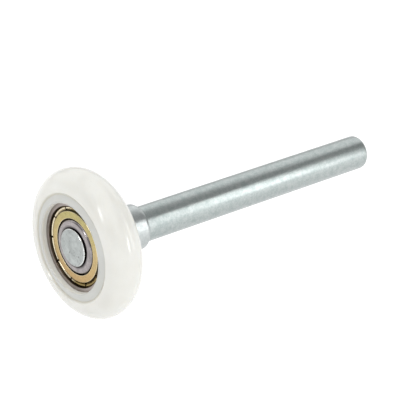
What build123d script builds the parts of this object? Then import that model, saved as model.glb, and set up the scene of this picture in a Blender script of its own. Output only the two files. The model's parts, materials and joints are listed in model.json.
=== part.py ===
from build123d import *
import os

# Track roller: a nylon tyre moulded round a shielded ball bearing, on a long zinc-plated
# spindle. Millimetres. The origin is the centre of the wheel. Y is the spindle's axis: the
# riveted head faces -Y, and the long stem, which a bracket holds, points along +Y.

# Spindle
STEM_RADIUS = 5.5
STEM_TIP_Y = 111.8
STEM_TIP_ROUND = 1.5
JOURNAL_RADIUS = 4.99
HEAD_RADIUS = 5.9
HEAD_ROOT_RADIUS = 5.7
HEAD_FACE_Y = -5.15
HEAD_EDGE_ROUND = 0.25

# Spacer collar, between the bearing's inner ring and the shoulder of the stem
COLLAR_RADIUS = 7.05
COLLAR_BORE = 5.01
COLLAR_REAR_Y = 19.2
COLLAR_FRONT_ROUND = 0.4
COLLAR_REAR_ROUND = 1.5

# Ball bearing of 10 mm bore, 30 mm outside and 9 mm width
HALF_WIDTH = 4.5
BORE_RADIUS = 5.0
OUTSIDE_RADIUS = 15.0
INNER_SHOULDER = 8.4
INNER_EDGE_CHAMFER = 0.5
OUTER_LAND = 11.6
RING_CHAMFER = 0.6
SEAT_CHAMFER = 0.2

# Balls and raceways
BALL_COUNT = 8
BALL_RADIUS = 2.381
PITCH_RADIUS = 10.0
BALL_CLEARANCE = 0.015
GROOVE_RADIUS = 1.04 * BALL_RADIUS
FIRST_BALL_ANGLE = 22.5

# Shields: pressed sheet, with a beaded rim that springs into a groove of the outer ring
SHEET = 0.3
SHIELD_FACE = 4.2
SHIELD_BORE = 8.7
SHIELD_STEP_RADIUS = 10.95
SHIELD_STEP_ROUND = 0.28
SHIELD_STEP_FOOT = 11.2
BEAD_CENTRE = 11.85
BEAD_RADIUS = 0.4
FLANGE_RADIUS = 12.7
SEAT_DEPTH = 3.1
SEAT_RADIUS = 12.5
GROOVE_OUTER = 12.75
SLIT_COUNT = 10
SLIT_FIRST_ANGLE = 4.0
SLIT_WIDTH = 0.6
SLIT_INNER = 11.0
SLIT_OUTER = 12.15

# Ribbon cage, in two pressed halves that eight rivets hold together
CAGE_SHEET = 0.35
CAGE_INNER = 8.95
CAGE_OUTER = 11.05
POCKET_RADIUS = BALL_RADIUS + 0.06
RIVET_RADIUS = 0.35
RIVET_HEAD_RADIUS = 0.65
RIVET_HEAD_HEIGHT = 0.3

# Tyre
TYRE_RADIUS = 23.0
TREAD_RADIUS = 5.95
LIP_RADIUS = 13.75
LIP_CORNER = 6.3
LIP_ROUND = 0.3
VALLEY_RADIUS = 16.4
VALLEY_DEPTH = 5.45
VALLEY_ROUND = 0.2
TREAD_START = 17.0

FRONT = -1
REAR = 1


def turned(*corners):
    """A solid of revolution about Y. Each corner is (radius, y) or (radius, y, rounding)."""
    points = [corner[:2] for corner in corners]
    roundings = [corner[2] if len(corner) > 2 else 0 for corner in corners]
    return revolve(make_face(FilletPolyline(*points, radius=roundings, close=True)), Axis.Y)


def along_y(shape):
    """Turn a shape made about Z so that its axis is Y."""
    return Rot(X=-90) * shape


def round_y(angle):
    """A turn about Y that takes +X towards +Z by the angle, in degrees."""
    return Rot(Y=-angle)


def save(name, shape):
    shape.label = name
    export_step(shape, f"parts/{name}.step")


def spindle():
    """One steel pin: riveted head, journal, shoulder, and stem with a rounded tip."""
    return turned(
        (0, HEAD_FACE_Y),
        (HEAD_RADIUS, HEAD_FACE_Y, HEAD_EDGE_ROUND),
        (HEAD_ROOT_RADIUS, -HALF_WIDTH),
        (JOURNAL_RADIUS, -HALF_WIDTH),
        (JOURNAL_RADIUS, COLLAR_REAR_Y),
        (STEM_RADIUS, COLLAR_REAR_Y),
        (STEM_RADIUS, STEM_TIP_Y, STEM_TIP_ROUND),
        (0, STEM_TIP_Y),
    )


def spacer_collar():
    """Sleeve on the journal. Its rear edge is rounded down to the stem's surface."""
    return turned(
        (COLLAR_BORE, HALF_WIDTH),
        (COLLAR_RADIUS, HALF_WIDTH, COLLAR_FRONT_ROUND),
        (COLLAR_RADIUS, COLLAR_REAR_Y, COLLAR_REAR_ROUND),
        (COLLAR_BORE, COLLAR_REAR_Y),
    )


def inner_ring():
    """Inner race, with its ball groove."""
    edge = INNER_SHOULDER - INNER_EDGE_CHAMFER
    bore_edge = BORE_RADIUS + RING_CHAMFER
    shape = turned(
        (BORE_RADIUS, RING_CHAMFER - HALF_WIDTH),
        (bore_edge, -HALF_WIDTH),
        (edge, -HALF_WIDTH),
        (INNER_SHOULDER, INNER_EDGE_CHAMFER - HALF_WIDTH),
        (INNER_SHOULDER, HALF_WIDTH - INNER_EDGE_CHAMFER),
        (edge, HALF_WIDTH),
        (bore_edge, HALF_WIDTH),
        (BORE_RADIUS, HALF_WIDTH - RING_CHAMFER),
    )
    groove_centre = PITCH_RADIUS - BALL_RADIUS - BALL_CLEARANCE + GROOVE_RADIUS
    return shape - along_y(Torus(groove_centre, GROOVE_RADIUS))


def outer_ring():
    """Outer race, with its ball groove and a stepped seat for a shield on each side."""
    half = [
        (OUTER_LAND, SEAT_DEPTH),
        (GROOVE_OUTER, SEAT_DEPTH),
        (GROOVE_OUTER, SEAT_DEPTH + SHEET),
        (SEAT_RADIUS, SEAT_DEPTH + 2 * SHEET),
        (SEAT_RADIUS, HALF_WIDTH - SEAT_CHAMFER),
        (SEAT_RADIUS + SEAT_CHAMFER, HALF_WIDTH),
        (OUTSIDE_RADIUS - RING_CHAMFER, HALF_WIDTH),
        (OUTSIDE_RADIUS, HALF_WIDTH - RING_CHAMFER),
    ]
    shape = turned(*half, *[(radius, -y) for radius, y in reversed(half)])
    groove_centre = PITCH_RADIUS + BALL_RADIUS + BALL_CLEARANCE - GROOVE_RADIUS
    return shape - along_y(Torus(groove_centre, GROOVE_RADIUS))


def ball(index):
    """One bearing ball, in its place on the pitch circle."""
    angle = FIRST_BALL_ANGLE + index * 360 / BALL_COUNT
    return round_y(angle) * Pos(X=PITCH_RADIUS) * Sphere(BALL_RADIUS)


def cage_half(side):
    """Half of the ribbon cage: flat bridges for the rivets, and a pocket over each ball."""
    flat, crown = sorted((0, side * CAGE_SHEET)), side * 2 * BALL_RADIUS
    ribbon = turned(
        (CAGE_INNER, flat[0]),
        (CAGE_OUTER, flat[0]),
        (CAGE_OUTER, flat[1]),
        (CAGE_INNER, flat[1]),
    )
    band = turned(
        (CAGE_INNER, 0),
        (CAGE_OUTER, 0),
        (CAGE_OUTER, crown),
        (CAGE_INNER, crown),
    )
    for index in range(BALL_COUNT):
        angle = FIRST_BALL_ANGLE + index * 360 / BALL_COUNT
        place = round_y(angle) * Pos(X=PITCH_RADIUS)
        ribbon += band & (place * Sphere(POCKET_RADIUS + CAGE_SHEET))
    for index in range(BALL_COUNT):
        angle = FIRST_BALL_ANGLE + index * 360 / BALL_COUNT
        ribbon -= round_y(angle) * Pos(X=PITCH_RADIUS) * Sphere(POCKET_RADIUS)
        ribbon -= rivet_place(index) * along_y(Cylinder(RIVET_RADIUS, 4 * CAGE_SHEET))
    return ribbon


def rivet_place(index):
    """The place of a cage rivet, midway between two balls."""
    angle = FIRST_BALL_ANGLE + (index + 0.5) * 360 / BALL_COUNT
    return round_y(angle) * Pos(X=PITCH_RADIUS)


def cage_rivets():
    """The eight rivets of the cage, as separate solids."""
    head_y = CAGE_SHEET + RIVET_HEAD_HEIGHT
    rivet = turned(
        (0, -head_y),
        (RIVET_HEAD_RADIUS, -head_y, RIVET_HEAD_HEIGHT / 2),
        (RIVET_HEAD_RADIUS, -CAGE_SHEET),
        (RIVET_RADIUS, -CAGE_SHEET),
        (RIVET_RADIUS, CAGE_SHEET),
        (RIVET_HEAD_RADIUS, CAGE_SHEET),
        (RIVET_HEAD_RADIUS, head_y, RIVET_HEAD_HEIGHT / 2),
        (0, head_y),
    )
    return Compound([rivet_place(index) * rivet for index in range(BALL_COUNT)])


def shield(side):
    """Pressed shield: a raised flat ring, a step, and a beaded rim cut by narrow slits."""
    inside_face = SHIELD_FACE - SHEET
    outline = [
        (SHIELD_BORE, inside_face),
        (SHIELD_BORE, SHIELD_FACE),
        (SHIELD_STEP_RADIUS, SHIELD_FACE, SHIELD_STEP_ROUND),
        (SHIELD_STEP_FOOT, SEAT_DEPTH + SHEET),
        (FLANGE_RADIUS, SEAT_DEPTH + SHEET),
        (FLANGE_RADIUS, SEAT_DEPTH),
        (SHIELD_STEP_FOOT - SHEET, SEAT_DEPTH),
        (SHIELD_STEP_RADIUS - SHEET, inside_face),
    ]
    shape = turned(*[(corner[0], side * corner[1], *corner[2:]) for corner in outline])
    bead = along_y(Torus(BEAD_CENTRE, BEAD_RADIUS))
    shape += Pos(Y=side * (SEAT_DEPTH + BEAD_RADIUS)) * bead
    slit = Box(SLIT_OUTER - SLIT_INNER, 4 * BEAD_RADIUS, SLIT_WIDTH)
    slit_place = Pos(X=(SLIT_INNER + SLIT_OUTER) / 2, Y=side * (SEAT_DEPTH + BEAD_RADIUS))
    for index in range(SLIT_COUNT):
        shape -= round_y(SLIT_FIRST_ANGLE + index * 360 / SLIT_COUNT) * slit_place * slit
    return shape


def tyre():
    """Nylon tyre, moulded over the outer ring: a round tread, and a lip that slopes to it."""
    tread_centre = TYRE_RADIUS - TREAD_RADIUS
    tread_edge = (TREAD_RADIUS**2 - (TREAD_START - tread_centre) ** 2) ** 0.5
    corner = [
        (OUTSIDE_RADIUS - RING_CHAMFER, HALF_WIDTH),
        (LIP_RADIUS, HALF_WIDTH),
        (LIP_RADIUS, LIP_CORNER),
        (VALLEY_RADIUS, VALLEY_DEPTH),
        (TREAD_START, tread_edge),
    ]
    roundings = [0, LIP_ROUND, VALLEY_ROUND]
    lips = [
        FilletPolyline(*[(radius, side * y) for radius, y in corner], radius=roundings)
        for side in (FRONT, REAR)
    ]
    tread = ThreePointArc((TREAD_START, -tread_edge), (TYRE_RADIUS, 0), (TREAD_START, tread_edge))
    seat = Polyline(
        (OUTSIDE_RADIUS - RING_CHAMFER, -HALF_WIDTH),
        (OUTSIDE_RADIUS, RING_CHAMFER - HALF_WIDTH),
        (OUTSIDE_RADIUS, HALF_WIDTH - RING_CHAMFER),
        (OUTSIDE_RADIUS - RING_CHAMFER, HALF_WIDTH),
    )
    return revolve(make_face([*lips, tread, seat]), Axis.Y)


os.makedirs("parts", exist_ok=True)
save("spindle", spindle())
save("spacer_collar", spacer_collar())
save("inner_ring", inner_ring())
save("outer_ring", outer_ring())
for number in range(BALL_COUNT):
    save(f"ball_{number + 1}", ball(number))
save("cage_front", cage_half(FRONT))
save("cage_rear", cage_half(REAR))
save("cage_rivets", cage_rivets())
save("shield_front", shield(FRONT))
save("shield_rear", shield(REAR))
save("tyre", tyre())
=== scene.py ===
import json
import math

import bmesh
import bpy
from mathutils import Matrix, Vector, noise


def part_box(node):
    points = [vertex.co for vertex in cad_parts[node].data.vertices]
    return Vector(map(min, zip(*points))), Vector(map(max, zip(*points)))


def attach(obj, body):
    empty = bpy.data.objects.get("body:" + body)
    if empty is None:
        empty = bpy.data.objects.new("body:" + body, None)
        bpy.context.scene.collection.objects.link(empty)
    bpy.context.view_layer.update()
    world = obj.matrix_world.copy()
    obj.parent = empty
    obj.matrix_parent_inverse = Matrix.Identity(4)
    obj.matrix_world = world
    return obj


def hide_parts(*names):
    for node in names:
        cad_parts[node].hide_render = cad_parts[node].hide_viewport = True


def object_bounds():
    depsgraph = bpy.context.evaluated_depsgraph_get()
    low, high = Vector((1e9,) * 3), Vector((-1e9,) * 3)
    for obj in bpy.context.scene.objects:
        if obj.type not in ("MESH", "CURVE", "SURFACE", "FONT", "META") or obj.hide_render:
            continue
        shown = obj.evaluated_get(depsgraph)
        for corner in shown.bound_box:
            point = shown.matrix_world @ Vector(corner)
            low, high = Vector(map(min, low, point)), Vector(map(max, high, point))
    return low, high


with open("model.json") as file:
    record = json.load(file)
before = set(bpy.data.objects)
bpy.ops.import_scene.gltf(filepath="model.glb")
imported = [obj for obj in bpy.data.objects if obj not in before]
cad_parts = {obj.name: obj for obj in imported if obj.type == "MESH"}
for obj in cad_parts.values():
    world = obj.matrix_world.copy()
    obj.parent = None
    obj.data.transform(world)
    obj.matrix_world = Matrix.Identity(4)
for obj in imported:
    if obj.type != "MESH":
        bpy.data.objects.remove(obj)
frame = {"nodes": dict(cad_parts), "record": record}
bpy.context.view_layer.update()
cad_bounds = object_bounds()

MM = 0.001

# ------------------------------------------------------------------ sizes from the frame


def reach(node):
    """Largest radius of a turned node about the Y axis, in metres."""
    low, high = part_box(node)
    return (high.x - low.x) / 2


def span(node):
    """Lowest and highest Y of a node, in metres."""
    low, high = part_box(node)
    return low.y, high.y


HEAD_FACE, STEM_TIP = span("spindle")
COLLAR_FRONT, COLLAR_REAR = span("spacer_collar")
COLLAR_RADIUS = reach("spacer_collar")
WHEEL_RADIUS = reach("tyre")
HALF_WIDTH = span("outer_ring")[1]
RING_RADIUS = reach("outer_ring")
SHOULDER_RADIUS = reach("inner_ring")
SHIELD_FACE = -span("shield_front")[0]
SHIELD_FOOT = -span("shield_front")[1]
FLANGE_RADIUS = reach("shield_front")
STEM_RADIUS = frame["record"]["mounts"][0]["dims"]["r_mm"] * MM

# ------------------------------------------------------------------ mesh tools

TURNS = 288
ARC_STEP = math.radians(9)
CREASE = math.radians(35)
ON_AXIS = 1e-7


def arc(centre, radius, start, end, steps):
    """Points of an arc about a (radius, y) centre, from one angle to another in degrees."""
    angles = [math.radians(start + (end - start) * step / steps) for step in range(steps + 1)]
    return [
        Vector((centre[0] + radius * math.cos(angle), centre[1] + radius * math.sin(angle)))
        for angle in angles
    ]


def rounded(*corners):
    """An outline from (radius, y) or (radius, y, rounding) corners, with its arcs drawn out."""
    outline = []
    for index, corner in enumerate(corners):
        point = Vector(corner[:2])
        if len(corner) == 2:
            outline.append(point)
            continue
        rounding = corner[2]
        back = (Vector(corners[index - 1][:2]) - point).normalized()
        onward = (Vector(corners[(index + 1) % len(corners)][:2]) - point).normalized()
        half = back.angle(onward) / 2
        centre = point + (back + onward).normalized() * rounding / math.sin(half)
        first = point + back * rounding / math.tan(half) - centre
        last = point + onward * rounding / math.tan(half) - centre
        start = math.atan2(first.y, first.x)
        turn = (math.atan2(last.y, last.x) - start + math.pi) % (2 * math.pi) - math.pi
        steps = max(3, math.ceil(abs(turn) / ARC_STEP))
        outline += arc(centre, rounding, math.degrees(start), math.degrees(start + turn), steps)
    return outline


def divided(outline, longest):
    """The outline with its long runs divided, for shapes that vary along them."""
    fine = []
    for index, point in enumerate(outline):
        following = outline[(index + 1) % len(outline)]
        parts = max(1, math.ceil((following - point).length / longest))
        fine += [point.lerp(following, part / parts) for part in range(parts)]
    return fine


def lathe(outline, turns=TURNS, vary=None):
    """Vertices and faces of a closed outline turned about Y. Points on the axis become poles."""
    vertices, rows = [], []
    for point in outline:
        if point.x < ON_AXIS:
            rows.append([len(vertices)] * turns)
            vertices.append((0.0, point.y, 0.0))
            continue
        row = []
        for turn in range(turns):
            angle = 2 * math.pi * turn / turns
            radius, y = vary(point.x, point.y, angle) if vary else point
            row.append(len(vertices))
            vertices.append((radius * math.cos(angle), y, radius * math.sin(angle)))
        rows.append(row)
    faces = []
    for index, row in enumerate(rows):
        following = rows[(index + 1) % len(rows)]
        for turn in range(turns):
            after = (turn + 1) % turns
            face = dict.fromkeys([row[turn], row[after], following[after], following[turn]])
            if len(face) > 2:
                faces.append(list(face))
    return vertices, faces


def new_piece(name, shape, body, node, material):
    """A shaded mesh piece that rides on a body and stands for a CAD node."""
    mesh = bpy.data.meshes.new(name)
    mesh.from_pydata(shape[0], [], shape[1])
    work = bmesh.new()
    work.from_mesh(mesh)
    bmesh.ops.recalc_face_normals(work, faces=work.faces)
    work.to_mesh(mesh)
    work.free()
    mesh.shade_smooth()
    mesh.set_sharp_from_angle(angle=CREASE)
    mesh.materials.append(material)
    piece = bpy.data.objects.new(name, mesh)
    bpy.context.scene.collection.objects.link(piece)
    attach(piece, body)
    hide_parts(node)
    return piece


# ------------------------------------------------------------------ material tools


class Surface:
    """A principled material and the few nodes that its colour, roughness and bump need."""

    def __init__(self, name, **sockets):
        self.material = bpy.data.materials.new(name)
        self.material.use_nodes = True
        self.tree = self.material.node_tree
        self.shader = self.tree.nodes["Principled BSDF"]
        for socket, value in sockets.items():
            self.shader.inputs[socket.replace("_", " ")].default_value = value
        self.place = self.tree.nodes.new("ShaderNodeTexCoord").outputs["Object"]

    def node(self, kind, inputs, output=0, **settings):
        """A new node with its settings, and its inputs either linked or set."""
        made = self.tree.nodes.new(kind)
        for setting, value in settings.items():
            setattr(made, setting, value)
        for key, value in inputs.items():
            if isinstance(value, bpy.types.NodeSocket):
                self.tree.links.new(value, made.inputs[key])
            else:
                made.inputs[key].default_value = value
        return made.outputs[output]

    def stretched(self, x, y, z):
        """Object coordinates, each multiplied by a factor."""
        return self.node("ShaderNodeMapping", {"Vector": self.place, "Scale": (x, y, z)})

    def noise(self, grain, detail=3, rough=0.55, where=None, distortion=0):
        """Noise whose features are about grain metres across."""
        inputs = {
            "Vector": where or self.place,
            "Scale": 1 / grain,
            "Detail": detail,
            "Roughness": rough,
            "Distortion": distortion,
        }
        return self.node("ShaderNodeTexNoise", inputs)

    def along(self, axis):
        """Object coordinate along an axis, in metres."""
        return self.node("ShaderNodeSeparateXYZ", {"Vector": self.place}, "XYZ".index(axis))

    def about_axis(self):
        """Distance from the Y axis, in metres."""
        flat = self.stretched(1, 0, 1)
        return self.node("ShaderNodeVectorMath", {0: flat}, 1, operation="LENGTH")

    def rings(self, grain, detail):
        """Noise in fine rings about the Y axis."""
        inputs = {"W": self.about_axis(), "Scale": 1 / grain, "Detail": detail}
        return self.node("ShaderNodeTexNoise", inputs, noise_dimensions="1D")

    def math(self, operation, first, second=0.0):
        """A sum, product or the like of two numbers."""
        return self.node("ShaderNodeMath", {0: first, 1: second}, operation=operation)

    def ramp(self, factor, *stops):
        """Colours or greys by factor, from (position, value) stops."""
        made = self.tree.nodes.new("ShaderNodeValToRGB")
        self.tree.links.new(factor, made.inputs["Fac"])
        elements = made.color_ramp.elements
        elements.remove(elements[1])
        for index, (position, value) in enumerate(stops):
            element = elements.new(position) if index else elements[0]
            element.position = position
            element.color = (*value, 1) if isinstance(value, tuple) else (value, value, value, 1)
        return made.outputs["Color"]

    def mixed(self, factor, first, second, blend="MIX"):
        """Two colours mixed."""
        made = self.tree.nodes.new("ShaderNodeMix")
        made.data_type = "RGBA"
        made.blend_type = blend
        for key, value in ((0, factor), (6, first), (7, second)):
            if isinstance(value, bpy.types.NodeSocket):
                self.tree.links.new(value, made.inputs[key])
            else:
                made.inputs[key].default_value = (*value, 1) if isinstance(value, tuple) else value
        return made.outputs[2]

    def profile(self, measure, unit, *stops):
        """A ramp over a measure up to unit metres, from (position in mm, value) stops."""
        share = self.math("DIVIDE", measure, unit)
        return self.ramp(share, *[(position * MM / unit, value) for position, value in stops])

    def paint_light(self, measure, unit, colour, *stops):
        """A colour multiplied by a profile, for painted light and shade."""
        return self.mixed(1.0, colour, self.profile(measure, unit, *stops), "MULTIPLY")

    def colour(self, socket):
        """Sets the base colour."""
        self.tree.links.new(socket, self.shader.inputs["Base Color"])

    def roughness(self, factor, low, high):
        """Roughness from low to high as factor goes from 0 to 1."""
        inputs = {"Value": factor, "To Min": low, "To Max": high}
        made = self.node("ShaderNodeMapRange", inputs)
        self.tree.links.new(made, self.shader.inputs["Roughness"])

    def bump(self, *layers):
        """Bump from (height, depth in metres) layers, one over another."""
        normal = None
        for height, depth in layers:
            inputs = {"Height": height, "Distance": depth, "Strength": 1.0}
            if normal:
                inputs["Normal"] = normal
            normal = self.node("ShaderNodeBump", inputs)
        self.tree.links.new(normal, self.shader.inputs["Normal"])


def nylon():
    """Natural white nylon: glossy and translucent on the tread; at the hub duller, and painted greyer
    as shade.
    """
    hub_shade_grey, lip_shade_grey, valley_shade_tan = (0.80, 0.81, 0.82), (0.72, 0.73, 0.74), (0.79, 0.76, 0.68)
    recess_glow = (0.17, 0.16, 0.135)
    look = Surface(
        "nylon",
        Roughness=0.2,
        IOR=1.5,
        Subsurface_Weight=0.5,
        Subsurface_Radius=(1.0, 0.92, 0.8),
        Subsurface_Scale=1.2 * MM,
    )
    clouds = look.noise(9 * MM, detail=2)
    colour = look.ramp(clouds, (0.3, (0.665, 0.66, 0.62)), (0.7, (0.70, 0.70, 0.665)))
    specks = look.ramp(look.noise(0.7 * MM, detail=4), (0.28, 0.96), (0.40, 1.0))
    speckled = look.mixed(1.0, colour, specks, "MULTIPLY")
    # Painted shade: the hub face, the lip's crest and the valley are painted greyer than the lit tread,
    # the valley with a tan tint.
    look.colour(look.paint_light(
        look.about_axis(), WHEEL_RADIUS, speckled,
        (0, hub_shade_grey), (13.76, hub_shade_grey), (13.84, lip_shade_grey), (14.1, lip_shade_grey), (14.4, hub_shade_grey),
        (16.1, hub_shade_grey), (16.4, valley_shade_tan), (16.9, 1.0),
    ))
    # A faint glow stands in for light that reaches the wall of the recess through the nylon.
    glow = look.paint_light(look.about_axis(), WHEEL_RADIUS, recess_glow, (13.76, 1.0), (13.86, 0.0))
    look.tree.links.new(glow, look.shader.inputs["Emission Color"])
    look.shader.inputs["Emission Strength"].default_value = 1.0
    radius_share = look.math("DIVIDE", look.about_axis(), WHEEL_RADIUS)
    dull_hub = look.ramp(radius_share, (0.705, 1.0), (0.725, 0.0))
    grain = look.math("MULTIPLY", look.noise(2.5 * MM, detail=4), 0.3)
    dullness = look.math("ADD", grain, look.math("MULTIPLY", dull_hub, 0.7))
    look.roughness(dullness, 0.13, 0.5)
    look.tree.links.new(
        look.node("ShaderNodeMapRange", {"Value": dull_hub, "To Min": 0.5, "To Max": 0.15}),
        look.shader.inputs["Specular IOR Level"],
    )
    look.bump(
        (look.noise(3.5 * MM, detail=2), 0.02 * MM),
        (look.noise(0.25 * MM, detail=3), 0.002 * MM),
    )
    return look.material


def zinc(name, light, dark, streak):
    """Zinc plating over drawn steel: satin and spangled, with fine streaks along a direction."""
    look = Surface(name, Metallic=1.0, Roughness=0.36)
    spangle = look.noise(1.6 * MM, detail=4, rough=0.6, distortion=0.4)
    drawn = look.noise(0.5 * MM, detail=3, where=look.stretched(*streak))
    grain = look.noise(0.5 * MM, detail=5, rough=0.75)
    blend = look.math("ADD", look.math("MULTIPLY", spangle, 0.4), look.math("MULTIPLY", grain, 0.6))
    look.colour(look.ramp(blend, (0.42, dark), (0.58, light)))
    look.roughness(blend, 0.38, 0.22)
    look.bump((drawn, 0.005 * MM), (spangle, 0.008 * MM), (grain, 0.022 * MM))
    return look.material


def head_zinc():
    """The upset head: matte zinc, mottled and pitted; its edge burnished and painted brighter as a
    highlight, and its side below the face painted dark as shade.
    """
    unit = 6 * MM
    look = Surface("zinc_head", Metallic=1.0, Roughness=0.45)
    clouds = look.noise(2.4 * MM, detail=5, rough=0.65, distortion=0.6)
    pits = look.ramp(look.noise(0.55 * MM, detail=2), (0.27, 0.0), (0.36, 1.0))
    colour = look.ramp(clouds, (0.30, (0.33, 0.35, 0.345)), (0.66, (0.51, 0.54, 0.53)))
    # Painted highlight, partly wear: the rounded edge of the head is painted near white.
    edge = look.ramp(look.math("DIVIDE", look.about_axis(), unit), (0.925, 0.0), (0.94, 1.0))
    burnish_and_highlight = look.mixed(edge, colour, (0.82, 0.84, 0.83))
    blotched = look.mixed(pits, (0.16, 0.16, 0.15), burnish_and_highlight)
    # Painted shade: below the face, the head's side wall is painted almost black.
    depth = look.math("ADD", look.along("Y"), unit)
    look.colour(look.paint_light(depth, unit, blotched, (0, 1.0), (1.05, 1.0), (1.14, 0.06)))
    dull = look.math("MULTIPLY", look.math("SUBTRACT", 1.0, edge), 0.36)
    look.roughness(look.math("ADD", dull, look.math("MULTIPLY", clouds, 0.2)), 0.0, 1.0)
    look.bump((pits, 0.03 * MM), (clouds, 0.05 * MM), (look.noise(0.2 * MM, detail=3), 0.006 * MM))
    return look.material


def ground_steel(name, light, dark, low, high, *painted_shade):
    """Ground bearing steel, with fine rings, a film of oil, and painted shade by (radius in mm, share).
    """
    look = Surface(name, Metallic=1.0, Roughness=0.3)
    rings = look.rings(0.12 * MM, 3.0)
    film = look.noise(1.8 * MM, detail=4, rough=0.6)
    blend = look.math("ADD", look.math("MULTIPLY", rings, 0.5), look.math("MULTIPLY", film, 0.5))
    colour = look.ramp(blend, (0.35, dark), (0.62, light))
    # Painted shade by radius, where the ring meets the parts beside it.
    if painted_shade:
        colour = look.paint_light(look.about_axis(), RING_RADIUS, colour, *painted_shade)
    look.colour(colour)
    look.roughness(blend, high, low)
    look.bump((rings, 0.004 * MM), (film, 0.006 * MM))
    return look.material


def shield_metal():
    """Yellow-plated pressed sheet: olive to orange; its edges painted bright, partly wear and partly a
    painted highlight; its bead painted with a reflection on one side and shade on the other; painted
    shade in its step and grooves.
    """
    look = Surface("shield_brass", Metallic=1.0, Roughness=0.3)
    drift = look.math("ADD", look.math("DIVIDE", look.along("Z"), 2 * FLANGE_RADIUS), 0.5)
    wander = look.math("MULTIPLY", look.noise(5 * MM, detail=3), 0.5)
    tint = look.ramp(
        look.math("SUBTRACT", look.math("ADD", drift, wander), 0.25),
        (0.15, (0.50, 0.34, 0.155)),
        (0.55, (0.54, 0.42, 0.20)),
        (0.85, (0.46, 0.40, 0.17)),
    )
    radius = look.about_axis()
    # Painted reflection and shade: the bead is painted cream on the wheel's left side and dark olive on
    # its right.
    side = look.math("ADD", look.math("DIVIDE", look.along("X"), 2 * FLANGE_RADIUS), 0.5)
    bead_painted_light = look.ramp(side, (0.38, (0.80, 0.71, 0.52)), (0.48, (0.28, 0.21, 0.08)))
    on_bead = look.profile(radius, FLANGE_RADIUS, (11.3, 0.0), (11.45, 1.0), (12.2, 1.0), (12.3, 0.0))
    beaded = look.mixed(on_bead, tint, bead_painted_light)
    # Painted highlight, partly wear: the bore edge and the flat's outer rounding are painted bright.
    on_edges = look.profile(
        radius, FLANGE_RADIUS,
        (8.78, 1.0), (8.86, 0.0), (10.72, 0.0), (10.78, 1.0), (10.86, 1.0), (10.9, 0.0),
    )
    plated = look.mixed(on_edges, beaded, (0.78, 0.68, 0.46))
    film = look.noise(0.9 * MM, detail=4, rough=0.6)
    filmed = look.mixed(1.0, plated, look.ramp(film, (0.3, 0.82), (0.6, 1.0)), "MULTIPLY")
    # Painted shade: dark on the step between flat and bead, and dark brown on the flange where it sits
    # in the ring's groove.
    look.colour(look.paint_light(
        radius, FLANGE_RADIUS, filmed,
        (0, 1.0), (10.84, 1.0), (10.92, 0.35), (11.1, 0.12), (11.3, 0.12), (11.44, 1.0),
        (12.2, 1.0), (12.3, (0.30, 0.26, 0.20)),
    ))
    look.roughness(film, 0.32, 0.20)
    look.bump((look.rings(0.2 * MM, 2.0), 0.004 * MM), (film, 0.008 * MM))
    return look.material


def polished_steel():
    """Polished bearing steel of the balls, with a faint haze."""
    look = Surface("ball_steel", Metallic=1.0, Roughness=0.08)
    haze = look.noise(0.6 * MM, detail=3)
    look.colour(look.ramp(haze, (0.3, 0.66), (0.7, 0.74)))
    look.roughness(haze, 0.05, 0.14)
    return look.material


# ------------------------------------------------------------------ pieces


def build_tyre(material):
    """Tyre: full round tread, and a lip round the bearing that slopes down to a valley."""
    tread = 5.95 * MM
    centre = WHEEL_RADIUS - tread
    start_radius = 17.0 * MM
    lip_radius, lip_corner, lip_round = 13.75 * MM, 6.3 * MM, 0.3 * MM
    valley_radius, valley_depth, valley_round = 16.4 * MM, 5.45 * MM, 0.2 * MM
    edge_angle = math.degrees(math.acos((start_radius - centre) / tread))
    edge_height = tread * math.sin(math.radians(edge_angle))
    seat_chamfer = 0.6 * MM
    crown_steps = 64

    def lip(side):
        return rounded(
            (RING_RADIUS - seat_chamfer, side * HALF_WIDTH),
            (lip_radius, side * HALF_WIDTH),
            (lip_radius, side * lip_corner, lip_round),
            (valley_radius, side * valley_depth, valley_round),
            (start_radius, side * edge_height),
        )

    crown = arc((centre, 0), tread, -edge_angle, edge_angle, crown_steps)[1:-1]
    bore = [
        Vector((RING_RADIUS, HALF_WIDTH - seat_chamfer)),
        Vector((RING_RADIUS, seat_chamfer - HALF_WIDTH)),
    ]
    outline = lip(-1) + crown + lip(1)[::-1] + bore
    return new_piece("wheel_tyre", lathe(outline), "wheel", "tyre", material)


def build_spindle(material, head_material):
    """Spindle: riveted head, journal, shoulder and stem. The head's face is slightly hammered."""
    head_radius, head_taper, head_round = 5.88 * MM, 0.2 * MM, 0.28 * MM
    journal, shoulder_round, tip_round = 4.99 * MM, 0.06 * MM, 1.5 * MM
    face_depth, dent_size, dent_depth, dent_step = 0.3 * MM, 2.2 * MM, 0.03 * MM, 0.5 * MM
    head_points = 8
    outline = rounded(
        (0, HEAD_FACE),
        (head_radius, HEAD_FACE, head_round),
        (head_radius - head_taper, -HALF_WIDTH),
        (journal, -HALF_WIDTH),
        (journal, COLLAR_REAR),
        (STEM_RADIUS, COLLAR_REAR, shoulder_round),
        (STEM_RADIUS, STEM_TIP, tip_round),
        (0, STEM_TIP),
    )

    def hammered(radius, y, angle):
        if y > HEAD_FACE + face_depth:
            return radius, y
        place = Vector((radius * math.cos(angle), radius * math.sin(angle), 0)) / dent_size
        return radius, y + dent_depth * (1 + noise.noise(place))

    head = divided(outline[:head_points], dent_step)[:-1]
    shape = lathe(head + outline[head_points - 1:], vary=hammered)
    piece = new_piece("spindle_pin", shape, "spindle", "spindle", material)
    piece.data.materials.append(head_material)
    for polygon in piece.data.polygons:
        polygon.material_index = int(polygon.center.y < -HALF_WIDTH)
    return piece


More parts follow.
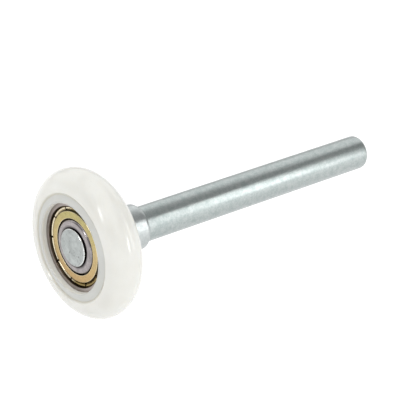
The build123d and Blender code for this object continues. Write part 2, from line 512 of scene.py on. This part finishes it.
def build_collar(material):
    """Spacer collar, whose rear edge is rounded down to the stem."""
    bore = 5.01 * MM
    front_round, rear_round = 0.4 * MM, 1.5 * MM
    outline = rounded(
        (bore, COLLAR_FRONT),
        (COLLAR_RADIUS, COLLAR_FRONT, front_round),
        (COLLAR_RADIUS, COLLAR_REAR, rear_round),
        (bore, COLLAR_REAR),
    )
    shape = lathe(divided(outline, 1 * MM))
    return new_piece("collar_sleeve", shape, "spindle", "spacer_collar", material)


def build_rings(inner_material, outer_material):
    """The two bearing rings, with their edges rounded and their ball grooves."""
    chamfer, bore_round, seat_round = 0.6 * MM, 0.15 * MM, 0.12 * MM
    groove_steps = 24
    groove = 2.476 * MM
    ball = 2.381 * MM
    pitch = 10 * MM
    gap = 0.015 * MM
    bore = 5.0 * MM
    edge = 1.0 * MM
    deep = pitch - ball - gap + groove
    half = math.degrees(math.acos((deep - SHOULDER_RADIUS) / groove))
    inner = rounded(
        (bore, chamfer - HALF_WIDTH),
        (bore + chamfer, -HALF_WIDTH, bore_round),
        (SHOULDER_RADIUS, -HALF_WIDTH, edge),
        (SHOULDER_RADIUS, -groove * math.sin(math.radians(half))),
    )
    inner += arc((deep, 0), groove, 180 + half, 180 - half, groove_steps)[1:]
    inner += [Vector((point.x, -point.y)) for point in reversed(inner[:-groove_steps])][1:]
    shape = lathe(inner)
    new_piece("bearing_inner_ring", shape, "spindle", "inner_ring", inner_material)

    land, seat, groove_outer = 11.6 * MM, 12.5 * MM, 12.75 * MM
    sheet = 0.3 * MM
    shallow = pitch + ball + gap - groove
    half = math.degrees(math.acos((land - shallow) / groove))

    def shoulder(side):
        return rounded(
            (land, side * groove * math.sin(math.radians(half))),
            (land, side * SHIELD_FOOT),
            (groove_outer, side * SHIELD_FOOT),
            (groove_outer, side * (SHIELD_FOOT + sheet)),
            (seat, side * (SHIELD_FOOT + 2 * sheet)),
            (seat, side * HALF_WIDTH, seat_round),
            (RING_RADIUS - chamfer, side * HALF_WIDTH),
            (RING_RADIUS, side * (HALF_WIDTH - chamfer)),
        )

    raceway = arc((shallow, 0), groove, half, -half, groove_steps)[1:-1]
    shape = lathe(shoulder(-1) + shoulder(1)[::-1] + raceway)
    new_piece("bearing_outer_ring", shape, "wheel", "outer_ring", outer_material)


def sheet_path(side):
    """The outside and inside faces of the shield's sheet, as paired (radius, y) points."""
    step = 10.95 * MM
    sheet = 0.3 * MM
    flat = SHIELD_FACE
    low = SHIELD_FOOT + sheet
    bead_centre, bead = 11.85 * MM, 0.4 * MM
    bore, bore_round = 8.7 * MM, 0.1 * MM
    bend = 0.28 * MM
    bead_toe = 0.02 * MM
    fold, fold_width = step - 0.35 * MM, 0.3 * MM
    outside = [Vector((bore, flat - bore_round))]
    outside += arc((bore + bore_round, flat - bore_round), bore_round, 180, 90, 4)[1:]
    outside += [Vector((bore + share * (step - bend - bore), flat)) for share in (0.25, 0.5, 0.75)]
    outside += arc((step - bend, flat - bend), bend, 90, 15, 6)
    outside += arc((bead_centre, SHIELD_FOOT + bead), bead, 165, 15, 14)
    outside += [Vector((bead_centre + bead + bead_toe, low)), Vector((FLANGE_RADIUS, low))]
    inside = []
    for point in outside:
        share = min(max((point.x - fold) / fold_width, 0), 1)
        inside.append(Vector((point.x, (flat - sheet) * (1 - share) + SHIELD_FOOT * share)))
    return [[Vector((point.x, side * point.y)) for point in path] for path in (outside, inside)]


def build_shield(name, side, node, material):
    """A shield: sheet turned about Y, with narrow slits cut right through its rim."""
    outside, inside = sheet_path(side)
    slits, first_slit = 10, math.radians(4)
    slit_inner, slit_outer, slit_half = 11.0 * MM, 12.15 * MM, math.radians(1.48)
    inner_index = max(i for i, point in enumerate(outside) if point.x <= slit_inner)
    outer_index = min(i for i, point in enumerate(outside) if point.x >= slit_outer)
    pitch = 2 * math.pi / slits
    between = 26
    angles, cut = [], []
    for slit in range(slits):
        start = first_slit + slit * pitch + slit_half
        step = (pitch - 2 * slit_half) / between
        angles += [start + step * index for index in range(between + 1)]
        cut += [False] * between + [True]
    vertices, count = [], len(outside)
    for angle in angles:
        for point in outside + inside:
            vertices.append((point.x * math.cos(angle), point.y, point.x * math.sin(angle)))
    faces = []

    def corner(turn, index, under=0):
        return (turn % len(angles)) * 2 * count + under * count + index

    for turn, is_cut in enumerate(cut):
        after = turn + 1
        open_range = range(inner_index, outer_index) if is_cut else range(0)
        for index in range(count - 1):
            if index in open_range:
                for wall in (turn, after):
                    faces.append([
                        corner(wall, index),
                        corner(wall, index + 1),
                        corner(wall, index + 1, 1),
                        corner(wall, index, 1),
                    ])
                continue
            for under in (0, 1):
                faces.append([
                    corner(turn, index, under),
                    corner(after, index, under),
                    corner(after, index + 1, under),
                    corner(turn, index + 1, under),
                ])
        ends = [0, count - 1] + ([inner_index, outer_index] if is_cut else [])
        for index in ends:
            faces.append([
                corner(turn, index),
                corner(after, index),
                corner(after, index, 1),
                corner(turn, index, 1),
            ])
    return new_piece(name, (vertices, faces), "wheel", node, material)


def repaint(nodes, material):
    """Gives CAD nodes that stay in view their finished material."""
    for node in nodes:
        for slot in frame["nodes"][node].material_slots:
            slot.material = material


# ------------------------------------------------------------------ floor, light, camera

FLOOR_HALF = 4.0
FLOOR_GLOW = 0.96
FLOOR_POOL = 0.2
FLOOR_POOL_REACH = 0.3
WORLD_GREY = 0.36
HORIZON_GREY = 0.95
LIGHTS = (
    # name, azimuth and elevation in degrees, distance, width and height in metres, radiance
    ("key_front", 0, 25, 0.9, 0.10, 0.26, 12.5),
    ("rim_front", 14, 40, 0.9, 0.40, 0.18, 2.6),
    ("panel_left", -75, 30, 1.2, 0.9, 0.9, 0.9),
    ("panel_front_right", 62, 36, 1.2, 0.8, 0.7, 0.85),
    ("strip_right", 104, 10, 0.9, 0.05, 0.30, 26.0),
    ("panel_right", 132, 15, 0.9, 0.18, 0.62, 3.7),
    ("panel_back", -140, 36, 1.2, 1.6, 0.8, 0.95),
    ("overhead", 0, 80, 1.0, 1.1, 1.1, 1.5),
)


def build_floor():
    """A plain pale floor that glows by itself, a little more on the wheel's right."""
    level = cad_bounds[0].z - 0.02 * MM
    corners = ((-1, -1), (1, -1), (1, 1), (-1, 1))
    mesh = bpy.data.meshes.new("floor")
    mesh.from_pydata([(x * FLOOR_HALF, y * FLOOR_HALF, level) for x, y in corners], [], [(0, 1, 2, 3)])
    look = Surface("floor_paint", Roughness=0.7)
    soft = look.noise(0.35, detail=2)
    look.colour(look.ramp(soft, (0.3, (0.12, 0.12, 0.12)), (0.7, (0.16, 0.16, 0.16))))
    look.shader.inputs["Emission Color"].default_value = (1, 1, 1, 1)
    across = look.math("DIVIDE", look.along("X"), FLOOR_POOL_REACH)
    pool = look.ramp(across, (0.06, 0.0), (0.16, 1.0), (0.5, 1.0), (0.9, 0.0))
    glow = look.math("ADD", look.math("MULTIPLY", pool, FLOOR_POOL), FLOOR_GLOW)
    look.tree.links.new(glow, look.shader.inputs["Emission Strength"])
    mesh.materials.append(look.material)
    floor = bpy.data.objects.new("floor", mesh)
    bpy.context.scene.collection.objects.link(floor)


def direction(azimuth, elevation):
    """Unit vector towards a point seen from the wheel: azimuth 0 is -Y and 90 is +X."""
    a, e = math.radians(azimuth), math.radians(elevation)
    return Vector((math.sin(a) * math.cos(e), -math.cos(a) * math.cos(e), math.sin(e)))


def build_light(name, azimuth, elevation, distance, width, height, radiance):
    """A rectangular softbox that faces the wheel, of a given brightness."""
    data = bpy.data.lights.new(name, "AREA")
    data.shape = "RECTANGLE"
    data.size = width
    data.size_y = height
    data.energy = radiance * width * height * math.pi
    light = bpy.data.objects.new(name, data)
    towards = direction(azimuth, elevation)
    light.location = towards * distance
    light.rotation_mode = "QUATERNION"
    light.rotation_quaternion = towards.to_track_quat("Z", "Y")
    bpy.context.scene.collection.objects.link(light)


def build_lights():
    """The softboxes, and a studio that is bright at the horizon and grey overhead."""
    for light in LIGHTS:
        build_light(*light)
    world = bpy.data.worlds.new("studio")
    world.use_nodes = True
    tree = world.node_tree
    heading = tree.nodes.new("ShaderNodeTexCoord").outputs["Generated"]
    height = tree.nodes.new("ShaderNodeSeparateXYZ")
    tree.links.new(heading, height.inputs["Vector"])
    fade = tree.nodes.new("ShaderNodeMapRange")
    fade_height = 0.25
    for socket, value in (("From Max", fade_height), ("To Min", HORIZON_GREY), ("To Max", WORLD_GREY)):
        fade.inputs[socket].default_value = value
    tree.links.new(height.outputs["Z"], fade.inputs["Value"])
    tree.links.new(fade.outputs["Result"], tree.nodes["Background"].inputs["Color"])
    bpy.context.scene.world = world


def build_camera():
    """The camera: a long lens, above the wheel and to its right, looking down the stem."""
    azimuth, elevation = 49.505, 23.655
    lens, sensor = 151.06, 36.0
    distance, beside, above = 514.5953 * MM, 39.4925 * MM, 10.8238 * MM
    back = direction(azimuth, elevation)
    right = direction(azimuth + 90, 0)
    up = back.cross(right)
    subject = Vector((0, -SHIELD_FACE, 0))
    data = bpy.data.cameras.new("camera")
    data.lens = lens
    data.sensor_width = sensor
    data.clip_start, data.clip_end = 0.01, 20
    camera = bpy.data.objects.new("camera", data)
    camera.location = subject + back * distance + right * beside + up * above
    camera.rotation_mode = "QUATERNION"
    camera.rotation_quaternion = back.to_track_quat("Z", "Y")
    bpy.context.scene.collection.objects.link(camera)
    bpy.context.scene.camera = camera


# ------------------------------------------------------------------ the scene

build_camera()
build_tyre(nylon())
build_spindle(zinc("zinc_stem", (0.455, 0.49, 0.482), (0.335, 0.383, 0.378), (1, 0.12, 1)), head_zinc())
build_collar(zinc("zinc_sleeve", (0.52, 0.55, 0.545), (0.42, 0.45, 0.45), (1, 1, 1)))
build_rings(
    ground_steel(
        "steel_inner", (0.41, 0.375, 0.375), (0.22, 0.205, 0.205), 0.13, 0.26,
        # Painted shade: nearly black beside the spindle head, darker again at the shoulder's outer edge
        # by the shield.
        (0, 0.05), (6.05, 0.05), (6.7, 1.0), (8.1, 1.0), (8.35, 0.2),
    ),
    ground_steel(
        "steel_outer", (0.38, 0.335, 0.315), (0.24, 0.21, 0.195), 0.26, 0.4,
        # Painted shade: dark brown inside the seat, in the groove behind the shield's bead.
        (0, (0.30, 0.26, 0.20)), (12.5, (0.30, 0.26, 0.20)), (12.58, 1.0),
    ),
)
brass = shield_metal()
build_shield("shield_outer_face", -1, "shield_front", brass)
build_shield("shield_inner_face", 1, "shield_rear", brass)
repaint([f"ball_{number}" for number in range(1, 9)], polished_steel())
repaint(
    ["cage_front", "cage_rear", "cage_rivets"],
    ground_steel("cage_steel", (0.58, 0.57, 0.55), (0.42, 0.41, 0.40), 0.25, 0.4),
)
build_floor()
build_lights()
bpy.context.scene.view_settings.view_transform = "Standard"

bpy.context.view_layer.update()
